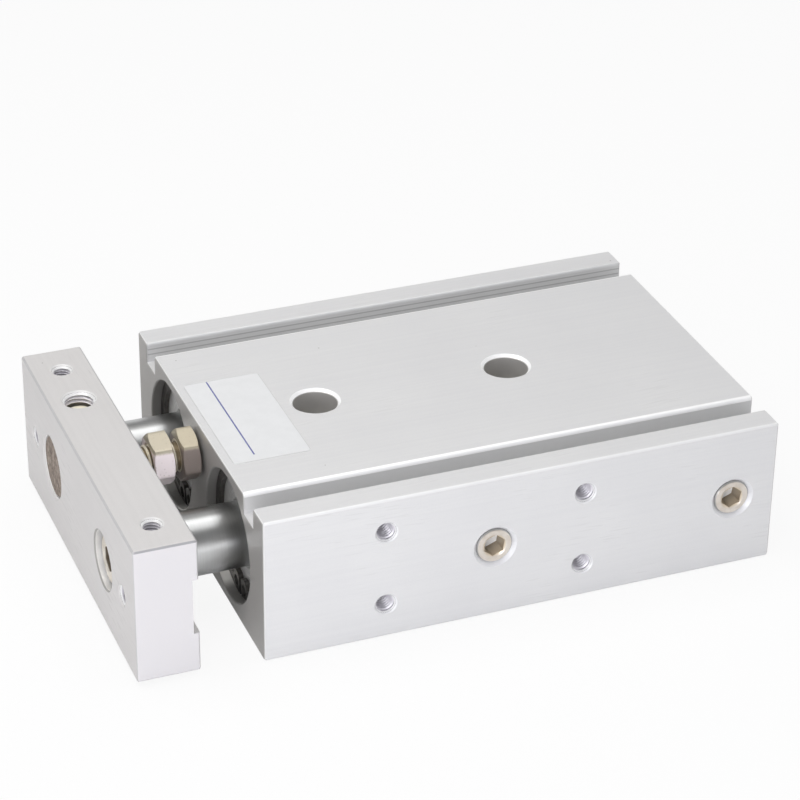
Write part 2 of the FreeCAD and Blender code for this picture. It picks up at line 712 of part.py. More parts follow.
os.makedirs("parts", exist_ok=True)
for name, shape in nodes.items():
    shape.exportStep("parts/" + name + ".step")
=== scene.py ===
import math

import bmesh
import bpy
from mathutils import Matrix, Vector


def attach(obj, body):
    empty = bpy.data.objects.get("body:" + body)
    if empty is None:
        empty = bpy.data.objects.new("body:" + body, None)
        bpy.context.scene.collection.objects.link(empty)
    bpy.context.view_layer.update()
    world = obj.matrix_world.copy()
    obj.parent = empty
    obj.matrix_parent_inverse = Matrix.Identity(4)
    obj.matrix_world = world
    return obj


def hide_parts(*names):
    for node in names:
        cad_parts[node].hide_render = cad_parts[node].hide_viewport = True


# Twin rod air cylinder, dressed.
# X runs along the rods, -X is the plate end, -Y the plugged side, +Z up.
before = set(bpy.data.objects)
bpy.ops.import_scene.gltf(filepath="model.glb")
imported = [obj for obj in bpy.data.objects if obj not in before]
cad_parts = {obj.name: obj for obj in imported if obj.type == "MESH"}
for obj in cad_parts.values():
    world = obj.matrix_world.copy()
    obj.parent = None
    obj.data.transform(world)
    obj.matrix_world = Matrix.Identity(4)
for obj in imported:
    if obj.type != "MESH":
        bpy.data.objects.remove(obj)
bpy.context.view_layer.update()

MM = 0.001
scene = bpy.context.scene


def middle_and_half(low, high):
    """The middle between two values, and how far each lies from it."""
    return (low + high) / 2, (high - low) / 2


# Housing, in millimetres
AXIS_Z = 19.0
ROD_Y = 22.5
HOUSING_HALF_LENGTH = 66.0
HOUSING_HALF_WIDTH = 49.0
HOUSING_TOP = 38.0
BORE_RADIUS = 16.85
SLOT_Y = 38.45
SLOT_Z = 35.35
SLOT_RADIUS = 3.75
SLOT_OUTER = 41.7
SLOT_INNER = 35.2
MOUNTING_X = (-35.7, 15.0)
MOUNTING_MIDDLE, MOUNTING_HALF = middle_and_half(*MOUNTING_X)
SIDE_THREAD_RISE = 10.0
PORT_X = (-8.0, 54.8)
PORT_MIDDLE, PORT_HALF = middle_and_half(*PORT_X)
PLUG_FACE_Y = -48.6
PLUG_SOCKET_FLOOR_Y = -44.0

# Rods and plate, in millimetres
ROD_B_END = -96.3
CAP_FACE = -95.3
CAP_SOCKET_FLOOR = -91.3
PLATE_FRONT = -96.8
PLATE_REAR = -81.4
PLATE_MIDDLE_X = -89.1
PLATE_HALF_DEPTH = 7.7
PLATE_HALF_WIDTH = 48.6
PLATE_BOTTOM = 1.2
PLATE_TOP = 36.8
PLATE_THREAD_Y = 38.2

# Adjusting bolt and lock nut, in millimetres, with the turn of each hexagon in degrees
BUMPER_Z = 29.8
BUMPER_TIP = -89.4
BUMPER_HEAD_BACK = -71.3
BUMPER_HEAD_FRONT = -66.9
BOLT_CORE = 3.38
BOLT_CREST = 4.0
BOLT_PITCH = 1.25
BOLT_TIP_CHAMFER = 0.7
BOLT_TURN = 18
PAD_RECESS_RADIUS = 3.52
PAD_RECESS_DEPTH = 2.0
LOCK_NUT_BACK = -78.4
LOCK_NUT_HEIGHT = 5.0
NUT_HOLE = 4.05
NUT_COUNTERSINK = 4.4
NUT_COUNTERSINK_DEPTH = 0.35
NUT_TURN = 16

# Tapped holes, in millimetres: radius, pitch, start and stop of the thread, countersink's width
SIDE_THREAD = (2.5, 0.8, 0.35, 7.6, 0.22)
PORT_THREAD = (4.575, 0.907, 0.9, 6.6, None)
PLATE_FRONT_THREAD = (2.5, 0.8, 0.35, 10.5, 0.3)
PLATE_TOP_THREAD = (2.5, 0.8, 0.35, 9.6, 0.43)
SET_SCREW_THREAD = (4.05, 1.0, 0.3, 3.9, 0.5)
THREAD_CHAMFER = 0.4

# Label on the top, in millimetres
LABEL_X = (-63.9, -44.5)
LABEL_Y = (-22.0, 18.0)
LABEL_THICKNESS = 0.08
LABEL_CORNER = 1.2
RULE_X = -57.9
RULE_Y = (-19.2, 17.7)
RULE_WIDTH = 0.38


def srgb(code):
    """A six digit sRGB hex colour as linear red, green and blue, with an alpha of 1."""
    channels = [int(code[i:i + 2], 16) / 255 for i in (1, 3, 5)]
    linear = [c / 12.92 if c <= 0.04045 else ((c + 0.055) / 1.055) ** 2.4 for c in channels]
    return (*linear, 1.0)


def add(tree, kind, sockets=None, **settings):
    """A new node with its settings. A socket takes a value, a socket or a node's live output."""
    made = tree.nodes.new(kind)
    for name, value in settings.items():
        setattr(made, name, value)
    for name, value in (sockets or {}).items():
        if isinstance(value, bpy.types.Node):
            value = next(output for output in value.outputs if output.enabled)
        if isinstance(value, bpy.types.NodeSocket):
            tree.links.new(value, made.inputs[name])
        else:
            made.inputs[name].default_value = value
    return made


def finish_start(name):
    """A new material, its empty node tree, and the object's own coordinates in millimetres."""
    material = bpy.data.materials.new(name)
    material.use_nodes = True
    tree = material.node_tree
    tree.nodes.clear()
    metres = add(tree, "ShaderNodeTexCoord").outputs["Object"]
    place = add(tree, "ShaderNodeVectorMath", {0: metres, "Scale": 1 / MM}, operation="SCALE")
    return material, tree, place


# Axes that a marked region reaches along: a bar one, a sheet two and a block three
BAR_X, BAR_Y, BAR_Z = (1, 0, 0), (0, 1, 0), (0, 0, 1)
SHEET_X, SHEET_Y = (0, 1, 1), (1, 0, 1)
BLOCK = (1, 1, 1)
# Longer than any piece, and below any distance, in millimetres
FAR = 100
NO_END = -1000


def in_region(tree, place, centre, half, along, radius, soft=0.05):
    """1 within a radius of bars, sheets or a block at plus and minus half, and 0 elsewhere."""
    away = add(tree, "ShaderNodeVectorMath", {0: place, 1: centre}, operation="SUBTRACT")
    away = add(tree, "ShaderNodeVectorMath", {0: away}, operation="ABSOLUTE")
    away = add(tree, "ShaderNodeVectorMath", {0: away, 1: half}, operation="SUBTRACT")
    ends = [0 if reaches else NO_END for reaches in along]
    away = add(tree, "ShaderNodeVectorMath", {0: away, 1: ends}, operation="MAXIMUM")
    reach = add(tree, "ShaderNodeVectorMath", {0: away}, operation="LENGTH")
    return add(tree, "ShaderNodeMapRange", {"Value": reach, "From Min": radius + soft,
                                            "From Max": radius - soft})


def near_edges(tree, place, low, high, width):
    """1 within a width of the edges of a box and 0 on its faces."""
    middle, half = zip(*map(middle_and_half, low, high))
    away = add(tree, "ShaderNodeVectorMath", {0: place, 1: middle}, operation="SUBTRACT")
    away = add(tree, "ShaderNodeVectorMath", {0: away}, operation="ABSOLUTE")
    depth = add(tree, "ShaderNodeVectorMath", {0: half, 1: away}, operation="SUBTRACT")
    x, y, z = add(tree, "ShaderNodeSeparateXYZ", {0: depth}).outputs
    # The second least of the three depths is small only at an edge
    low_xy = add(tree, "ShaderNodeMath", {0: x, 1: y}, operation="MINIMUM")
    high_xy = add(tree, "ShaderNodeMath", {0: x, 1: y}, operation="MAXIMUM")
    second = add(tree, "ShaderNodeMath", {0: low_xy, 1: z}, operation="MAXIMUM")
    second = add(tree, "ShaderNodeMath", {0: second, 1: high_xy}, operation="MINIMUM")
    return add(tree, "ShaderNodeMapRange", {"Value": second, "From Min": width,
                                            "From Max": width / 2})


def anodised(name, pale, dark, edge, edge_width, wear, scuff_mm, lines_per_mm, cuts, low, high):
    """Blasted, clear anodised aluminium: a pale matt skin with faint lines, with painted highlights
    and painted shade along its edges and at its cuts.
    """
    material, tree, place = finish_start(name)
    # Die or mill lines about 1 mm apart, drawn out along one axis
    drawn = add(tree, "ShaderNodeVectorMath", {0: place, 1: lines_per_mm}, operation="MULTIPLY")
    lines = add(tree, "ShaderNodeTexNoise", {"Vector": drawn, "Scale": 1.0, "Detail": 3.0})
    # Blasted grain of about 0.3 mm, coarser than the real one so that it shows
    grain = add(tree, "ShaderNodeTexNoise", {"Vector": place, "Scale": 1 / 0.3125, "Detail": 2.0})
    # Cloudy handling marks of about 25 mm
    cloud = add(tree, "ShaderNodeTexNoise", {"Vector": place, "Scale": 1 / 25, "Detail": 3.0})
    tone = add(tree, "ShaderNodeMath", {0: lines, 1: 0.3}, operation="MULTIPLY")
    tone = add(tree, "ShaderNodeMath", {0: grain, 1: 0.3, 2: tone}, operation="MULTIPLY_ADD")
    tone = add(tree, "ShaderNodeMath", {0: cloud, 1: 0.4, 2: tone}, operation="MULTIPLY_ADD")
    share = add(tree, "ShaderNodeMapRange", {"Value": tone, "From Min": 0.36, "From Max": 0.64})
    skin = add(tree, "ShaderNodeMix", {"Factor": share, "A": srgb(dark), "B": srgb(pale)},
               data_type="RGBA")
    # Straight scuffs about 0.4 mm wide, in patches of about 25 mm, a little aslant to the faces
    aslant = add(tree, "ShaderNodeMapping", {"Vector": place, "Rotation": (0.05, 0.04, 0.06),
                                             "Scale": scuff_mm}, vector_type="TEXTURE")
    streak = add(tree, "ShaderNodeTexNoise", {"Vector": aslant, "Scale": 1.0, "Detail": 0.0})
    scuff = add(tree, "ShaderNodeMapRange", {"Value": streak, "From Min": 0.64, "From Max": 0.74})
    worn = add(tree, "ShaderNodeMapRange", {"Value": cloud, "From Min": 0.5, "From Max": 0.6,
                                            "To Max": wear})
    scuff = add(tree, "ShaderNodeMath", {0: scuff, 1: worn}, operation="MULTIPLY")
    skin = add(tree, "ShaderNodeMix", {"Factor": scuff, "A": skin, "B": srgb("#a3a19f")},
               data_type="RGBA")
    # Sparse pin holes and specks, 0.3 mm across and about 11 mm apart
    cells = add(tree, "ShaderNodeTexVoronoi", {"Vector": place, "Scale": 1 / 11.11,
                                               "Randomness": 1.0})
    speck = add(tree, "ShaderNodeMapRange", {"Value": cells.outputs["Distance"], "From Min": 0.022,
                                             "From Max": 0.012, "To Max": 0.7})
    skin = add(tree, "ShaderNodeMix", {"Factor": speck, "A": skin, "B": srgb("#8d8c88")},
               data_type="RGBA")
    # Painted light along the rounded edges of the box: a painted highlight where the edge tone is
    # paler than the skin, painted shade where it is darker
    rim = near_edges(tree, place, low, high, edge_width)
    skin = add(tree, "ShaderNodeMix", {"Factor": rim, "A": skin, "B": srgb(edge)}, data_type="RGBA")
    # The cuts' tones go on top: mostly painted highlights and painted shade in holes, mouths, slots
    # and edges
    for *region, tone in cuts:
        within = in_region(tree, place, *region)
        skin = add(tree, "ShaderNodeMix", {"Factor": within, "A": skin, "B": srgb(tone)},
                   data_type="RGBA")
    rough = add(tree, "ShaderNodeMapRange", {"Value": grain, "From Min": 0.3, "From Max": 0.7,
                                             "To Min": 0.38, "To Max": 0.48})
    height = add(tree, "ShaderNodeMath", {0: lines, 1: 0.4, 2: grain}, operation="MULTIPLY_ADD")
    bump = add(tree, "ShaderNodeBump", {"Height": height, "Strength": 0.05, "Distance": 0.03 * MM})
    shader = add(tree, "ShaderNodeBsdfPrincipled", {"Base Color": skin, "Metallic": 0.3,
                                                    "Roughness": rough, "Normal": bump})
    add(tree, "ShaderNodeOutputMaterial", {"Surface": shader})
    return material


def plated(name, colour, tint, roughness, patch_mm, metallic):
    """Plated or bare metal: an even skin that drifts between two tones from patch to patch."""
    material, tree, place = finish_start(name)
    patch = add(tree, "ShaderNodeTexNoise", {"Vector": place, "Scale": 1 / patch_mm, "Detail": 3.0})
    share = add(tree, "ShaderNodeMapRange", {"Value": patch, "From Min": 0.35, "From Max": 0.65})
    skin = add(tree, "ShaderNodeMix", {"Factor": share, "A": srgb(colour), "B": srgb(tint)},
               data_type="RGBA")
    # Grain of 0.25 mm, coarser than the real one so that it shows
    grain = add(tree, "ShaderNodeTexNoise", {"Vector": place, "Scale": 1 / 0.25, "Detail": 2.0})
    rough = add(tree, "ShaderNodeMapRange", {"Value": grain, "From Min": 0.3, "From Max": 0.7,
                                             "To Min": roughness * 0.8, "To Max": roughness * 1.25})
    bump = add(tree, "ShaderNodeBump", {"Height": grain, "Strength": 0.08, "Distance": 0.03 * MM})
    shader = add(tree, "ShaderNodeBsdfPrincipled", {"Base Color": skin, "Metallic": metallic,
                                                    "Roughness": rough, "Normal": bump})
    add(tree, "ShaderNodeOutputMaterial", {"Surface": shader})
    return material


def socketed_nickel(name, face_region, inward, mouth, floor, tones):
    """Nickel round a hexagon socket: a pale face in a darker rim of painted shade, walls painted
    darker inwards as shade, and a floor in a tone of its own.
    """
    face, drift, rim, wall, bottom = [srgb(tone) for tone in tones]
    # Painted shade: the walls darken to under half their tone towards the floor
    deep_wall_shade = [0.45 * channel for channel in wall[:3]] + [1]
    material, tree, place = finish_start(name)
    # Patches of 2 mm
    patch = add(tree, "ShaderNodeTexNoise", {"Vector": place, "Scale": 1 / 2, "Detail": 4.0})
    share = add(tree, "ShaderNodeMapRange", {"Value": patch, "From Min": 0.35, "From Max": 0.65})
    skin = add(tree, "ShaderNodeMix", {"Factor": share, "A": face, "B": drift}, data_type="RGBA")
    depth = add(tree, "ShaderNodeSeparateXYZ", {0: place}).outputs[inward]
    inside = add(tree, "ShaderNodeMapRange", {"Value": depth, "From Min": mouth + 0.05,
                                              "From Max": mouth + 0.25})
    lowest = add(tree, "ShaderNodeMapRange", {"Value": depth, "From Min": floor - 0.12,
                                              "From Max": floor - 0.04})
    deep = add(tree, "ShaderNodeMapRange", {"Value": depth, "From Min": mouth + 0.25,
                                            "From Max": floor - 0.3})
    wall = add(tree, "ShaderNodeMix", {"Factor": deep, "A": wall, "B": deep_wall_shade}, data_type="RGBA")
    skin = add(tree, "ShaderNodeMix", {"Factor": inside, "A": skin, "B": wall}, data_type="RGBA")
    within = in_region(tree, place, *face_region)
    skin = add(tree, "ShaderNodeMix", {"Factor": within, "A": rim, "B": skin}, data_type="RGBA")
    skin = add(tree, "ShaderNodeMix", {"Factor": lowest, "A": skin, "B": bottom}, data_type="RGBA")
    metal = add(tree, "ShaderNodeMapRange", {"Value": lowest, "To Min": 0.6, "To Max": 0.1})
    shader = add(tree, "ShaderNodeBsdfPrincipled", {"Base Color": skin, "Metallic": metal,
                                                    "Roughness": 0.3})
    add(tree, "ShaderNodeOutputMaterial", {"Surface": shader})
    return material


def passivated_zinc(name, pale, low_reflection_tone):
    """Yellow passivated zinc: a champagne film with a painted reflection in another tone low down,
    a thread painted pale and dark, and fine dark pits.
    """
    material, tree, place = finish_start(name)
    # Drifts of about 2 mm
    cloud = add(tree, "ShaderNodeTexNoise", {"Vector": place, "Scale": 1 / 2.222, "Detail": 3.0})
    height = add(tree, "ShaderNodeSeparateXYZ", {0: place}).outputs["Z"]
    drift = add(tree, "ShaderNodeMath", {0: cloud, 1: 0.8, 2: height}, operation="MULTIPLY_ADD")
    # Painted reflection: low down the film turns to another tone, darker on the bolt and paler on
    # the nut
    low = add(tree, "ShaderNodeMapRange", {"Value": drift, "From Min": BUMPER_Z + 4.8,
                                           "From Max": BUMPER_Z + 4.2})
    film = add(tree, "ShaderNodeMix", {"Factor": low, "A": srgb(pale), "B": srgb(low_reflection_tone)},
               data_type="RGBA")
    # The thread is painted pale as a highlight out to its crest, and dark as shade at its root
    for radius, tone in ((4.2, "#f1ead9"), (3.6, "#80745e")):
        thread = in_region(tree, place, (0, 0, BUMPER_Z), (FAR, 0, 0), BAR_X, radius)
        film = add(tree, "ShaderNodeMix", {"Factor": thread, "A": film, "B": srgb(tone)},
                   data_type="RGBA")
    # Pits of 0.2 mm, about 1 mm apart
    cells = add(tree, "ShaderNodeTexVoronoi", {"Vector": place, "Scale": 1 / 1.111,
                                               "Randomness": 1.0})
    pit = add(tree, "ShaderNodeMapRange", {"Value": cells.outputs["Distance"], "From Min": 0.24,
                                           "From Max": 0.1, "To Max": 0.2})
    film = add(tree, "ShaderNodeMix", {"Factor": pit, "A": film, "B": srgb("#8b7f70")},
               data_type="RGBA")
    # Grain of about 0.3 mm, coarser than the real one so that it shows
    grain = add(tree, "ShaderNodeTexNoise", {"Vector": place, "Scale": 1 / 0.3333, "Detail": 2.0})
    rough = add(tree, "ShaderNodeMapRange", {"Value": grain, "From Min": 0.3, "From Max": 0.7,
                                             "To Min": 0.34, "To Max": 0.46})
    bump = add(tree, "ShaderNodeBump", {"Height": grain, "Strength": 0.1, "Distance": 0.03 * MM})
    shader = add(tree, "ShaderNodeBsdfPrincipled", {"Base Color": film, "Metallic": 0.6,
                                                    "Roughness": rough, "Normal": bump})
    add(tree, "ShaderNodeOutputMaterial", {"Surface": shader})
    return material


def soft_rubber(name, colour, dust, roughness):
    """Moulded rubber or urethane: a dark matt skin with a fine bloom."""
    material, tree, place = finish_start(name)
    # Bloom in patches of 1.25 mm
    bloom = add(tree, "ShaderNodeTexNoise", {"Vector": place, "Scale": 1 / 1.25, "Detail": 4.0})
    share = add(tree, "ShaderNodeMapRange", {"Value": bloom, "From Min": 0.4, "From Max": 0.75})
    skin = add(tree, "ShaderNodeMix", {"Factor": share, "A": srgb(colour), "B": srgb(dust)},
               data_type="RGBA")
    bump = add(tree, "ShaderNodeBump", {"Height": bloom, "Strength": 0.1, "Distance": 0.05 * MM})
    shader = add(tree, "ShaderNodeBsdfPrincipled", {"Base Color": skin, "Roughness": roughness,
                                                    "Normal": bump})
    add(tree, "ShaderNodeOutputMaterial", {"Surface": shader})
    return material


def chromed_rod():
    """Hard chrome on ground steel: a near mirror with fine rings round it, and a raw sawn end."""
    material, tree, place = finish_start("hard_chrome_rod")
    # Grinding rings about 0.25 mm apart, coarser than the real ones so that they show
    rings = add(tree, "ShaderNodeVectorMath", {0: place, 1: (4.0, 0.05, 0.05)},
                operation="MULTIPLY")
    ground = add(tree, "ShaderNodeTexNoise", {"Vector": rings, "Scale": 1.0, "Detail": 2.0})
    chrome = add(tree, "ShaderNodeMix", {"Factor": ground, "A": srgb("#bfc0c0"),
                                         "B": srgb("#cccdcd")}, data_type="RGBA")
    # Brown mottle of about 1.4 mm on the sawn end
    mottle = add(tree, "ShaderNodeTexNoise", {"Vector": place, "Scale": 1 / 1.4286, "Detail": 4.0,
                                              "Roughness": 0.7})
    share = add(tree, "ShaderNodeMapRange", {"Value": mottle, "From Min": 0.35, "From Max": 0.65})
    raw = add(tree, "ShaderNodeMix", {"Factor": share, "A": srgb("#75675e"), "B": srgb("#b1a59a")},
              data_type="RGBA")
    along = add(tree, "ShaderNodeSeparateXYZ", {0: place}).outputs["X"]
    end = add(tree, "ShaderNodeMapRange", {"Value": along, "From Min": ROD_B_END + 0.2,
                                           "From Max": ROD_B_END + 0.1})
    skin = add(tree, "ShaderNodeMix", {"Factor": end, "A": chrome, "B": raw}, data_type="RGBA")
    rough = add(tree, "ShaderNodeMapRange", {"Value": end, "To Min": 0.3, "To Max": 0.6})
    shader = add(tree, "ShaderNodeBsdfPrincipled", {"Base Color": skin, "Metallic": 1.0,
                                                    "Roughness": rough})
    add(tree, "ShaderNodeOutputMaterial", {"Surface": shader})
    return material


def turned_alloy_finish():
    """Turned aluminium: tool rings 0.4 mm apart round each bore's axis, which catch the light."""
    material, tree, place = finish_start("turned_aluminium")
    axis = (0, ROD_Y, AXIS_Z)
    either = add(tree, "ShaderNodeVectorMath", {0: place}, operation="ABSOLUTE")
    away = add(tree, "ShaderNodeVectorMath", {0: either, 1: axis}, operation="SUBTRACT")
    away = add(tree, "ShaderNodeVectorMath", {0: away, 1: (0, 1, 1)}, operation="MULTIPLY")
    radius = add(tree, "ShaderNodeVectorMath", {0: away}, operation="LENGTH")
    rings = add(tree, "ShaderNodeTexNoise", {"W": radius, "Scale": 1 / 0.4, "Detail": 2.0},
                noise_dimensions="1D")
    share = add(tree, "ShaderNodeMapRange", {"Value": rings, "From Min": 0.3, "From Max": 0.7})
    skin = add(tree, "ShaderNodeMix", {"Factor": share, "A": srgb("#dadad8"), "B": srgb("#c6c6c4")},
               data_type="RGBA")
    bump = add(tree, "ShaderNodeBump", {"Height": rings, "Strength": 0.2, "Distance": 0.05 * MM})
    shader = add(tree, "ShaderNodeBsdfPrincipled", {"Base Color": skin, "Metallic": 0.4,
                                                    "Roughness": 0.4, "Normal": bump})
    add(tree, "ShaderNodeOutputMaterial", {"Surface": shader})
    return material


def label_film():
    """Matt white film with one thin blue rule, and painted shade round its edge."""
    material, tree, place = finish_start("white_label_film")
    # Cloudy fibre of about 3 mm
    fibre = add(tree, "ShaderNodeTexNoise", {"Vector": place, "Scale": 1 / 2.857, "Detail": 4.0})
    share = add(tree, "ShaderNodeMapRange", {"Value": fibre, "From Min": 0.35, "From Max": 0.65})
    skin = add(tree, "ShaderNodeMix", {"Factor": share, "A": srgb("#d7d8d9"), "B": srgb("#dadbdc")},
               data_type="RGBA")
    # Painted shade round the film's edge
    edge = near_edges(tree, place, (LABEL_X[0], LABEL_Y[0], HOUSING_TOP),
                      (LABEL_X[1], LABEL_Y[1], HOUSING_TOP + LABEL_THICKNESS), 0.25)
    skin = add(tree, "ShaderNodeMix", {"Factor": edge, "A": skin, "B": srgb("#c4c4c4")},
               data_type="RGBA")
    rule_y, rule_half = middle_and_half(*RULE_Y)
    middle = (RULE_X, rule_y, 0)
    away = add(tree, "ShaderNodeVectorMath", {0: place, 1: middle}, operation="SUBTRACT")
    away = add(tree, "ShaderNodeVectorMath", {0: away}, operation="ABSOLUTE")
    x, y, _ = add(tree, "ShaderNodeSeparateXYZ", {0: away}).outputs
    across = add(tree, "ShaderNodeMath", {0: x, 1: RULE_WIDTH / 2}, operation="LESS_THAN")
    along = add(tree, "ShaderNodeMath", {0: y, 1: rule_half}, operation="LESS_THAN")
    rule = add(tree, "ShaderNodeMath", {0: across, 1: along}, operation="MULTIPLY")
    skin = add(tree, "ShaderNodeMix", {"Factor": rule, "A": skin, "B": srgb("#62669c")},
               data_type="RGBA")
    shader = add(tree, "ShaderNodeBsdfPrincipled", {"Base Color": skin, "Roughness": 0.42})
    add(tree, "ShaderNodeOutputMaterial", {"Surface": shader})
    return material


# Cuts with tones of their own, most of them painted highlights and painted shade: middle, half
# spread, axes, radius and tone, the later ones on top
SIDE_HOLES = ((MOUNTING_MIDDLE, 0, AXIS_Z), (MOUNTING_HALF, FAR, SIDE_THREAD_RISE), BAR_Y)
THROUGH_HOLES = ((MOUNTING_MIDDLE, 0, 0), (MOUNTING_HALF, 0, FAR), BAR_Z)
HOUSING_CUTS = [
    # sensor slots in painted shade, and two dark lines painted along their outer walls as the shade
    # of a step in them
    ((0, 0, SLOT_Z), (FAR, SLOT_Y, 0), BAR_X, SLOT_RADIUS, "#d6d6d6"),
    ((0, 0, 36.2), (FAR, SLOT_OUTER, 0), BAR_X, 0.16, "#b4b4b4"),
    ((0, 0, 34.8), (FAR, SLOT_OUTER, 0), BAR_X, 0.16, "#b4b4b4"),
    # painted highlights along the rounded inner edges of the slots and the top's outer edges, and
    # painted shade along the slots' outer edges
    ((0, 0, HOUSING_TOP), (FAR, SLOT_INNER, 0), BAR_X, 1.0, "#f6f6f6"),
    ((0, 0, HOUSING_TOP), (FAR, SLOT_OUTER, 0), BAR_X, 0.6, "#d4d4d4"),
    ((0, 0, HOUSING_TOP), (FAR, HOUSING_HALF_WIDTH, 0), BAR_X, 0.55, "#e8e8e8"),
    # port mouths painted paler as a highlight, then side threads and through holes in painted shade
    # within mouths painted paler as highlights
    ((PORT_MIDDLE, 0, AXIS_Z), (PORT_HALF, FAR, 0), BAR_Y, 5.6, "#e9e9eb"),
    (*SIDE_HOLES, 2.9, "#efeff0"),
    (*SIDE_HOLES, 2.56, "#8a888d"),
    (*THROUGH_HOLES, 6.3, "#ffffff"),
    (*THROUGH_HOLES, 5.6, "#bbb9b6"),
    # bores in painted shade, a painted pool of light with a soft edge on the lower inner part of
    # their front, and the sawn ends painted darker as shade
    ((0, 0, AXIS_Z), (FAR, ROD_Y, 0), BAR_X, BORE_RADIUS, "#9c9b98"),
    ((-64.4, 0, 8.5), (2.0, 17.4, 6.5), BLOCK, 1.5, 1.5, "#e4e3de"),
    ((0, 0, 0), (HOUSING_HALF_LENGTH, FAR, FAR), SHEET_X, 0.12, "#aaa8a5"),
]
PLATE_TOP_HOLES = ((PLATE_MIDDLE_X, 0, PLATE_TOP - 5), (0, PLATE_THREAD_Y, 5.5), BAR_Z)
SET_SCREW_HOLE = ((PLATE_MIDDLE_X, ROD_Y, PLATE_TOP - 5), (0, 0, 5.5), BAR_Z)
CAP_SCREW_HOLE = ((PLATE_FRONT + 4.75, -ROD_Y, AXIS_Z), (4.75, 0, 0), BAR_X)
PLATE_CUTS = [
    # milled ends, and painted shade along the rounded top edges
    ((0, 0, 0), (FAR, PLATE_HALF_WIDTH, FAR), SHEET_Y, 0.12, "#dedcde"),
    ((0, 0, PLATE_TOP), (FAR, PLATE_HALF_WIDTH, 0), BAR_X, 0.45, "#a3a2a5"),
    ((PLATE_MIDDLE_X, 0, PLATE_TOP), (PLATE_HALF_DEPTH, FAR, 0), BAR_Y, 0.45, "#bebdbe"),
    # mouths of the top threads and of the set screw's hole painted paler as highlights, then the
    # front threads and these holes in painted shade
    (*PLATE_TOP_HOLES, 2.9, "#e2e1e0"),
    (*SET_SCREW_HOLE, 4.45, "#e2e1e0"),
    ((PLATE_FRONT + 5.5, 0, AXIS_Z), (6, PLATE_THREAD_Y, 0), BAR_X, 2.56, "#8f8d8b"),
    (*PLATE_TOP_HOLES, 2.56, "#77756f"),
    (*SET_SCREW_HOLE, 4.1, "#6b6963"),
    # cap screw's hole painted pale as the light on its counterbore, within its chamfer in painted
    # shade; the rod hole's rim painted pale as a highlight; the bumper hole in painted shade
    (*CAP_SCREW_HOLE, 7.66, "#a3a19e"),
    (*CAP_SCREW_HOLE, 7.3, "#e8e7e5"),
    ((PLATE_MIDDLE_X, ROD_Y, AXIS_Z), (PLATE_HALF_DEPTH, 0, 0), BAR_X, 8.1, "#eeedeb"),
    ((PLATE_REAR - 4, 0, BUMPER_Z), (4, 0, 0), BAR_X, 4.1, "#8f8d8b"),
]

# Extruded, blasted and anodised: pale, even and matt, with faint lines along the profile, and a
# painted highlight along its rounded edges
housing_skin = anodised(
    "anodised_extruded_aluminium", pale="#e1e1e1", dark="#dbdbdc", edge="#e6e6e6", edge_width=0.45,
    wear=0.09, scuff_mm=(16, 0.4, 0.4), lines_per_mm=(0.004, 0.9, 0.9), cuts=HOUSING_CUTS,
    low=(-HOUSING_HALF_LENGTH, -HOUSING_HALF_WIDTH, 0),
    high=(HOUSING_HALF_LENGTH, HOUSING_HALF_WIDTH, HOUSING_TOP))
# Milled and anodised: a warmer grey, with mill lines from side to side, scuffs, and painted shade
# along its rounded edges
plate_skin = anodised(
    "anodised_milled_aluminium", pale="#dad8d7", dark="#d3d1d0", edge="#c4c3c3", edge_width=0.55,
    wear=0.25, scuff_mm=(0.4, 12, 0.4), lines_per_mm=(0.9, 0.02, 0.9), cuts=PLATE_CUTS,
    low=(PLATE_FRONT, -PLATE_HALF_WIDTH, PLATE_BOTTOM),
    high=(PLATE_REAR, PLATE_HALF_WIDTH, PLATE_TOP))
turned_alloy = turned_alloy_finish()
chrome = chromed_rod()
# Phosphated: dark grey with a low sheen
ring_black = plated("phosphated_spring_steel", "#72706d", "#605e5b", 0.35, 1.5, 0.8)
# Cut after anodising: a ring round the hole painted near white all round as a highlight, and pale
# threads with a duller gloss
mouth_finish = plated("countersunk_aluminium", "#f4f4f4", "#eaeaea", 0.35, 2.0, 0.3)
thread_finish = plated("tapped_aluminium", "#f2f0f5", "#e2e0e6", 0.45, 2.0, 0.5)
# Passivated clear: nearly white with a trace of cream, and hardly a mirror
zinc_screw = plated("clear_passivated_zinc", "#fffae8", "#f6f0dc", 0.5, 2.5, 0.2)
# Nickel on brass: a warm pale face in a rim of painted shade, walls painted darker inwards as
# shade, and a socket floor painted white and matt as a highlight
nickel = socketed_nickel(
    "nickel_plated_brass", ((PORT_MIDDLE, 0, AXIS_Z), (PORT_HALF, FAR, 0), BAR_Y, 4.3), 1,
    PLUG_FACE_Y, PLUG_SOCKET_FLOOR_Y, ("#dfd8cf", "#d2c9be", "#b4b3b1", "#d6c7b0", "#ffffff"))
# Nickel on steel: the same face within a dark rim painted as shade on the head's rounded edge in
# its counterbore, and a brown socket with walls painted darker inwards as shade
screw_nickel = socketed_nickel(
    "nickel_plated_steel", ((0, -ROD_Y, AXIS_Z), (FAR, 0, 0), BAR_X, 6.0), 0,
    CAP_FACE, CAP_SOCKET_FLOOR, ("#e2dcd0", "#d6cec0", "#5f5a54", "#978b7c", "#8b8178"))
# Zinc with a painted reflection low down: brown on the bolt, and a pale pink on the nut
bolt_zinc = passivated_zinc("yellow_passivated_zinc_bolt", "#b7ae9a", "#948983")
nut_zinc = passivated_zinc("yellow_passivated_zinc_nut", "#c0b8a6", "#fff4f6")
# Black and matt, brown grey with a soft shine, and charcoal with none
seal_rubber = soft_rubber("nitrile_rubber", "#1b1b1c", "#2a2a2b", 0.6)
pad_urethane = soft_rubber("cast_urethane", "#57534c", "#6a655d", 0.5)
magnet_compound = soft_rubber("bonded_ferrite", "#2c2a29", "#3a3836", 0.7)
film = label_film()

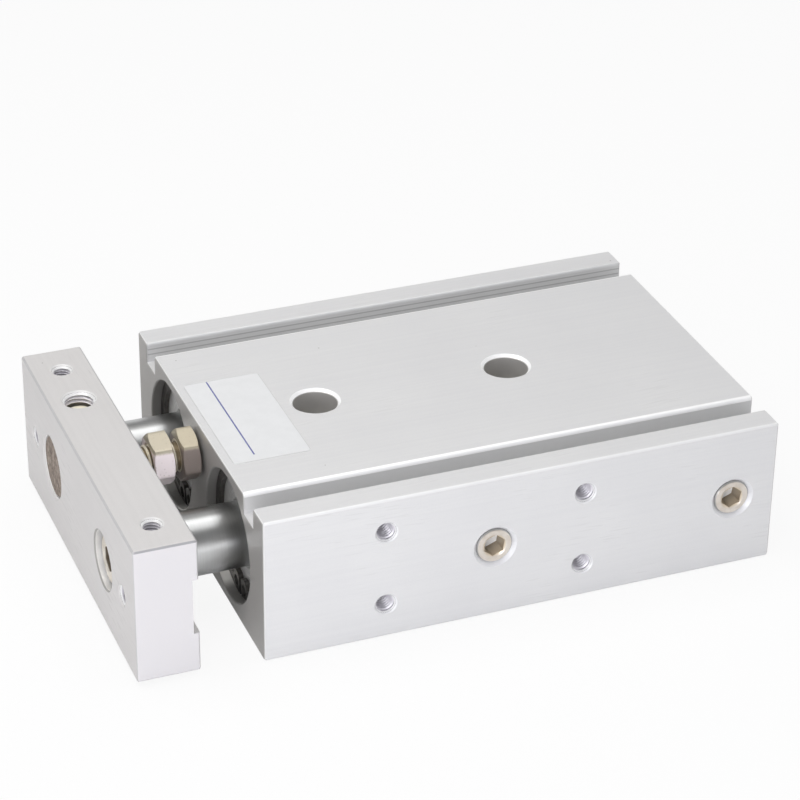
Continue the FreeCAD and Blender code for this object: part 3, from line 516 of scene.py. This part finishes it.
node_finishes = {
    "housing": housing_skin, "end_plate": plate_skin, "port_plugs": nickel,
    "rod_cap_screw": screw_nickel, "rod_set_screw": zinc_screw, "bumper_bolt": bolt_zinc,
    "lock_nut": nut_zinc, "bumper_pad": pad_urethane,
}
sided_finishes = {
    "piston_rod": chrome, "rod_cover": turned_alloy, "rod_seal": seal_rubber,
    "rod_cover_o_ring": seal_rubber, "front_retaining_ring": ring_black,
    "head_cover": turned_alloy, "head_cover_o_ring": seal_rubber,
    "rear_retaining_ring": ring_black, "piston": turned_alloy, "piston_seal": seal_rubber,
    "magnet_ring": magnet_compound, "front_bumper": seal_rubber, "rear_bumper": seal_rubber,
}
for name, finish in sided_finishes.items():
    for side in ("a", "b"):
        node_finishes[name + "_" + side] = finish
for name, finish in node_finishes.items():
    for material_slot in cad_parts[name].material_slots:
        material_slot.material = finish


def piece(name, shape, finish, body, smooth_angle=30.0):
    """A piece from a bmesh in millimetres: scaled to metres, shaded, riding on its body."""
    bmesh.ops.remove_doubles(shape, verts=shape.verts, dist=1e-5)
    bmesh.ops.recalc_face_normals(shape, faces=shape.faces)
    bmesh.ops.scale(shape, vec=(MM, MM, MM), verts=shape.verts)
    for face in shape.faces:
        face.smooth = True
    for edge in shape.edges:
        edge.smooth = edge.calc_face_angle(math.pi) < math.radians(smooth_angle)
    mesh = bpy.data.meshes.new(name)
    shape.to_mesh(mesh)
    shape.free()
    mesh.materials.append(finish)
    made = bpy.data.objects.new(name, mesh)
    scene.collection.objects.link(made)
    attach(made, body)
    return made


def placed(shape, start, direction):
    """A shape on the Z axis, turned to a direction and moved to its start."""
    turn = Vector((0, 0, 1)).rotation_difference(Vector(direction)).to_matrix()
    bmesh.ops.rotate(shape, cent=(0, 0, 0), matrix=turn, verts=shape.verts)
    bmesh.ops.translate(shape, vec=start, verts=shape.verts)


def closed_outline(shape, outline):
    """The vertices and edges of an outline, given as radii and heights in the plane of X and Z."""
    corners = [shape.verts.new((radius, 0, height)) for radius, height in outline]
    return corners + [shape.edges.new((corners[i - 1], corners[i])) for i in range(len(corners))]


# Threads: half widths of the ridge, its depth and its run out in pitches, and its least height.
# The foot of a ridge lies a little within the wall that it stands on, in millimetres.
ROOT_SHARE = 0.44
CREST_SHARE = 0.07
DEPTH_SHARE = 0.54
RUN_OUT = 0.6
LEAST_HEIGHT = 0.03
FOOT = 0.04
STEPS_PER_TURN = 28
MOUTH_STEPS = 32


def thread_ridge(shape, wall, crest, pitch, start, stop):
    """A helical ridge about the Z axis, from a wall's radius to a crest's, between two heights."""
    root_half = ROOT_SHARE * pitch
    crest_half = CREST_SHARE * pitch
    first = start + root_half
    before = set(shape.verts)
    outline = closed_outline(shape, [(wall, first - root_half), (crest, first - crest_half),
                                     (crest, first + crest_half), (wall, first + root_half)])
    turns = (stop - start - 2 * root_half) / pitch
    steps = round(turns * STEPS_PER_TURN)
    bmesh.ops.spin(shape, geom=outline, cent=(0, 0, 0), axis=(0, 0, 1),
                   dvec=(0, 0, pitch / STEPS_PER_TURN),
                   angle=math.tau * steps / STEPS_PER_TURN, steps=steps)
    # The crest grows out of the wall over the first part of a turn
    for v in shape.verts:
        if v not in before:
            grown = min(max((v.co.z - first) / (RUN_OUT * pitch), LEAST_HEIGHT), 1)
            reach = v.co.xy.length
            v.co.xy *= (wall + (reach - wall) * grown) / reach
    open_ends = [edge for edge in shape.edges if edge.is_boundary]
    bmesh.ops.holes_fill(shape, edges=open_ends, sides=4)


def tapped_hole(hole, number, mouth, inward, thread, body):
    """A hole's thread as a ridge in from its wall, and a ring from its mouth to the crest."""
    radius, pitch, start, stop, sunk = thread
    shape = bmesh.new()
    thread_ridge(shape, radius + FOOT, radius - DEPTH_SHARE * pitch, pitch, start, stop)
    placed(shape, mouth, inward)
    piece(f"{hole}_thread{number}", shape, thread_finish, body)
    if sunk:
        shape = bmesh.new()
        low = THREAD_CHAMFER + sunk
        outline = closed_outline(shape, [(radius + FOOT, THREAD_CHAMFER - FOOT),
                                         (radius - sunk, low), (radius + FOOT, low)])
        bmesh.ops.spin(shape, geom=outline, cent=(0, 0, 0), axis=(0, 0, 1), angle=math.tau,
                       steps=MOUTH_STEPS, use_merge=True)
        placed(shape, mouth, inward)
        piece(f"{hole}_mouth{number}", shape, mouth_finish, body)


for side, face_y in (("a", -HOUSING_HALF_WIDTH), ("b", HOUSING_HALF_WIDTH)):
    inward = (0, -math.copysign(1, face_y), 0)
    for i, x in enumerate(MOUNTING_X):
        for j, z in enumerate((AXIS_Z - SIDE_THREAD_RISE, AXIS_Z + SIDE_THREAD_RISE)):
            tapped_hole("side", f"_{side}{i}{j}", (x, face_y, z), inward, SIDE_THREAD,
                        "barrel")
for i, x in enumerate(PORT_X):
    tapped_hole("port", f"_b{i}", (x, HOUSING_HALF_WIDTH, AXIS_Z), (0, -1, 0), PORT_THREAD,
                "barrel")
for i, y in enumerate((-PLATE_THREAD_Y, PLATE_THREAD_Y)):
    tapped_hole("plate_front", f"_{i}", (PLATE_FRONT, y, AXIS_Z), (1, 0, 0), PLATE_FRONT_THREAD,
                "slider")
    tapped_hole("plate_top", f"_{i}", (PLATE_MIDDLE_X, y, PLATE_TOP), (0, 0, -1), PLATE_TOP_THREAD,
                "slider")
tapped_hole("set_screw", "", (PLATE_MIDDLE_X, ROD_Y, PLATE_TOP), (0, 0, -1), SET_SCREW_THREAD,
            "slider")


# Hexagons of the bolt and the nut, in millimetres: width across the flats, radius of the end faces,
# rise of the chamfer for each millimetre outwards, and rounding of the six corners
HEX_SEGMENTS = 48
HEX_FLATS = 12.0
HEX_FACE = HEX_FLATS / 2 * 0.985
HEX_CHAMFER_RISE = math.tan(math.radians(25))
HEX_CORNER = 0.45
HEX_SMOOTH_ANGLE = 14.0


def hex_radius(angle):
    """How far the hexagon reaches at an angle, with the middle of a flat at angle 0."""
    return HEX_FLATS / 2 / math.cos((angle + math.pi / 6) % (math.pi / 3) - math.pi / 6)


def skin_up(shape, ring, radius_at, height_at):
    """Extrudes a ring of edges to a new ring whose radius and height are given at each angle."""
    made = bmesh.ops.extrude_edge_only(shape, edges=ring)["geom"]
    verts = {v for v in made if isinstance(v, bmesh.types.BMVert)}
    for v in verts:
        angle = math.atan2(v.co.y, v.co.x)
        radius = radius_at(angle)
        v.co = (radius * math.cos(angle), radius * math.sin(angle), height_at(radius))
    return [e for e in shape.edges if e.verts[0] in verts and e.verts[1] in verts]


def hexagon_wall(shape, ring, bottom, top):
    """Carries a ring of edges out over a chamfered hexagon, from its bottom face to its top."""
    ring = skin_up(shape, ring, lambda a: HEX_FACE, lambda r: bottom)
    ring = skin_up(shape, ring, hex_radius, lambda r: bottom + (r - HEX_FACE) * HEX_CHAMFER_RISE)
    ring = skin_up(shape, ring, hex_radius, lambda r: top - (r - HEX_FACE) * HEX_CHAMFER_RISE)
    return skin_up(shape, ring, lambda a: HEX_FACE, lambda r: top)


def soften_hexagon(shape, turn):
    """Rounds the six corners of the hexagon a little, and turns it about its axis."""
    bmesh.ops.remove_doubles(shape, verts=shape.verts, dist=1e-5)
    # Only the corners are upright and lie well outside the flats
    corners = [e for e in shape.edges if abs(e.verts[0].co.z - e.verts[1].co.z) > 1
               and min(v.co.xy.length for v in e.verts) > HEX_FLATS / 2 + 0.9]
    bmesh.ops.bevel(shape, geom=corners, offset=HEX_CORNER, affect="EDGES", segments=3,
                    profile=0.5, material=-1)
    bmesh.ops.rotate(shape, cent=(0, 0, 0), matrix=Matrix.Rotation(math.radians(turn), 3, "Z"),
                     verts=shape.verts)


def threaded_bumper_bolt():
    """The adjusting bolt with its hexagon head, the pad's recess and a rolled thread."""
    height = BUMPER_HEAD_FRONT - BUMPER_HEAD_BACK
    tip = BUMPER_TIP - BUMPER_HEAD_BACK
    shape = bmesh.new()
    made = bmesh.ops.create_circle(shape, segments=HEX_SEGMENTS, cap_ends=True,
                                   radius=BOLT_CORE - BOLT_TIP_CHAMFER)
    bmesh.ops.translate(shape, vec=(0, 0, tip), verts=made["verts"])
    ring = skin_up(shape, list(shape.edges), lambda a: BOLT_CORE, lambda r: tip + BOLT_TIP_CHAMFER)
    ring = skin_up(shape, ring, lambda a: BOLT_CORE, lambda r: 0)
    ring = hexagon_wall(shape, ring, 0, height)
    ring = skin_up(shape, ring, lambda a: PAD_RECESS_RADIUS, lambda r: height)
    ring = skin_up(shape, ring, lambda a: PAD_RECESS_RADIUS, lambda r: height - PAD_RECESS_DEPTH)
    bmesh.ops.holes_fill(shape, edges=ring, sides=HEX_SEGMENTS)
    soften_hexagon(shape, BOLT_TURN)
    thread_ridge(shape, BOLT_CORE - FOOT, BOLT_CREST, BOLT_PITCH, tip + 0.4, -0.1)
    placed(shape, (BUMPER_HEAD_BACK, 0, BUMPER_Z), (1, 0, 0))
    return shape


def bumper_lock_nut():
    """The thin nut behind the bolt head, countersunk at both ends of its hole."""
    top = LOCK_NUT_HEIGHT
    shape = bmesh.new()
    bmesh.ops.create_circle(shape, segments=HEX_SEGMENTS, radius=NUT_COUNTERSINK)
    ring = hexagon_wall(shape, list(shape.edges), 0, top)
    ring = skin_up(shape, ring, lambda a: NUT_COUNTERSINK, lambda r: top)
    ring = skin_up(shape, ring, lambda a: NUT_HOLE, lambda r: top - NUT_COUNTERSINK_DEPTH)
    ring = skin_up(shape, ring, lambda a: NUT_HOLE, lambda r: NUT_COUNTERSINK_DEPTH)
    skin_up(shape, ring, lambda a: NUT_COUNTERSINK, lambda r: 0)
    soften_hexagon(shape, NUT_TURN)
    placed(shape, (LOCK_NUT_BACK, 0, BUMPER_Z), (1, 0, 0))
    return shape


bolt = piece("threaded_bumper_bolt", threaded_bumper_bolt(), bolt_zinc, "adjuster",
             HEX_SMOOTH_ANGLE)
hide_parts("bumper_bolt")
nut = piece("chamfered_lock_nut", bumper_lock_nut(), nut_zinc, "adjuster",
            HEX_SMOOTH_ANGLE)
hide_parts("lock_nut")


def label_sheet():
    """A thin film with rounded corners, lying on the top of the housing."""
    (left, right), (near, far) = LABEL_X, LABEL_Y
    shape = bmesh.new()
    corners = [shape.verts.new((x, y, HOUSING_TOP))
               for x, y in ((left, near), (right, near), (right, far), (left, far))]
    shape.faces.new(corners)
    bmesh.ops.bevel(shape, geom=corners, offset=LABEL_CORNER, affect="VERTICES", segments=5,
                    profile=0.5, material=-1)
    raised = bmesh.ops.extrude_face_region(shape, geom=list(shape.faces))["geom"]
    bmesh.ops.translate(shape, vec=(0, 0, LABEL_THICKNESS),
                        verts=[v for v in raised if isinstance(v, bmesh.types.BMVert)])
    return shape


piece("top_label", label_sheet(), film, "barrel")


# Studio: a white floor, a sky that is white at the horizon and greyer overhead, and six soft lamps
def area_lamp(name, place, aim, size, power, colour, in_gloss=True):
    """A soft rectangular lamp at a place in metres, turned to a point. Metal reflects it or not."""
    data = bpy.data.lights.new(name, "AREA")
    data.shape = "RECTANGLE"
    data.size, data.size_y = size
    data.energy = power
    data.color = srgb(colour)[:3]
    lamp = bpy.data.objects.new(name, data)
    lamp.location = place
    lamp.rotation_euler = (Vector(aim) - Vector(place)).to_track_quat("-Z", "Y").to_euler()
    lamp.visible_camera = False
    lamp.visible_glossy = in_gloss
    scene.collection.objects.link(lamp)


def shown_rays(tree, in_camera, in_gloss):
    """A share for rays of the camera and of glass, one for gloss, and 0 for light on the object."""
    rays = add(tree, "ShaderNodeLightPath").outputs
    seen = add(tree, "ShaderNodeMath", {0: rays["Is Camera Ray"], 1: rays["Is Transmission Ray"]},
               operation="MAXIMUM")
    seen = add(tree, "ShaderNodeMath", {0: seen, 1: in_camera}, operation="MULTIPLY")
    return add(tree, "ShaderNodeMath", {0: rays["Is Glossy Ray"], 1: in_gloss, 2: seen},
               operation="MULTIPLY_ADD")


WHITE = (1, 1, 1, 1)
FLOOR_HALF_SIZE = 3.0
FLOOR_Z = -0.0002

world = bpy.data.worlds.new("white_studio")
scene.world = world
world.use_nodes = True
sky = world.node_tree
sky.nodes.clear()
light = add(sky, "ShaderNodeBackground", {"Color": srgb("#f6f7fa"), "Strength": 0.4})
direction = add(sky, "ShaderNodeTexCoord").outputs["Generated"]
rise = add(sky, "ShaderNodeSeparateXYZ", {0: direction}).outputs["Z"]
level = add(sky, "ShaderNodeMapRange", {"Value": rise, "From Min": 0.0, "From Max": 0.5,
                                        "To Min": 1.2, "To Max": 0.26})
seen = add(sky, "ShaderNodeLightPath").outputs["Is Camera Ray"]
level = add(sky, "ShaderNodeMath", {0: level, 1: seen}, operation="MAXIMUM")
backdrop = add(sky, "ShaderNodeBackground", {"Color": WHITE, "Strength": level})
mixed = add(sky, "ShaderNodeMixShader", {0: shown_rays(sky, 1.0, 1.0), 1: light, 2: backdrop})
add(sky, "ShaderNodeOutputWorld", {"Surface": mixed})

floor_shape = bmesh.new()
bmesh.ops.create_grid(floor_shape, x_segments=1, y_segments=1, size=FLOOR_HALF_SIZE)
bmesh.ops.translate(floor_shape, vec=(0, 0, FLOOR_Z), verts=floor_shape.verts)
floor_mesh = bpy.data.meshes.new("studio_floor")
floor_shape.to_mesh(floor_mesh)
floor_shape.free()
floor = bpy.data.objects.new("studio_floor", floor_mesh)
scene.collection.objects.link(floor)
# Paper: matt white, and bright of itself to the camera, so that only soft shadows show on it
paper = bpy.data.materials.new("white_paper_floor")
paper.use_nodes = True
tree = paper.node_tree
tree.nodes.clear()
matt = add(tree, "ShaderNodeBsdfDiffuse", {"Color": srgb("#e0e0e0")})
glow = add(tree, "ShaderNodeEmission", {"Color": WHITE, "Strength": 1.0})
mixed = add(tree, "ShaderNodeMixShader", {0: shown_rays(tree, 0.9, 0.15), 1: matt, 2: glow})
add(tree, "ShaderNodeOutputMaterial", {"Surface": mixed})
floor_mesh.materials.append(paper)

MIDDLE = (0, 0, 0.02)
area_lamp("front_softbox", (-0.36, -0.50, 0.28), MIDDLE, (0.45, 0.4), 1.26, "#f5f5fb", False)
area_lamp("low_softbox", (-0.20, -0.45, 0.07), (-0.05, 0, 0.02), (0.35, 0.1), 0.66, "#f7f7fb")
area_lamp("top_softbox", (0.27, 0.07, 1.0), MIDDLE, (0.8, 0.3), 1.6, "#ffffff")
area_lamp("top_fill", (0.05, -0.25, 1.0), MIDDLE, (0.5, 0.4), 1.5, "#ffffff", False)
area_lamp("back_softbox", (0.27, 0.42, 0.85), MIDDLE, (0.8, 0.5), 0.4, "#fffdf8")
area_lamp("left_softbox", (-0.22, 0.05, 0.50), MIDDLE, (0.3, 0.3), 1.2, "#fffdfa")

# Camera: its place in metres, and the directions of the picture's right, top and viewer
camera_data = bpy.data.cameras.new("photo_camera")
camera_data.lens = 129.45
camera_data.sensor_width = 36.0
camera = bpy.data.objects.new("photo_camera", camera_data)
right = Vector((0.93188, -0.36261, 0.01126))
up = Vector((0.17165, 0.46806, 0.86688))
back = Vector((-0.31961, -0.80588, 0.49841))
turn = Matrix((right, up, back)).transposed().to_4x4()
camera.matrix_world = Matrix.Translation((-0.24109, -0.57414, 0.38883)) @ turn
scene.collection.objects.link(camera)
scene.camera = camera
scene.view_settings.view_transform = "Standard"
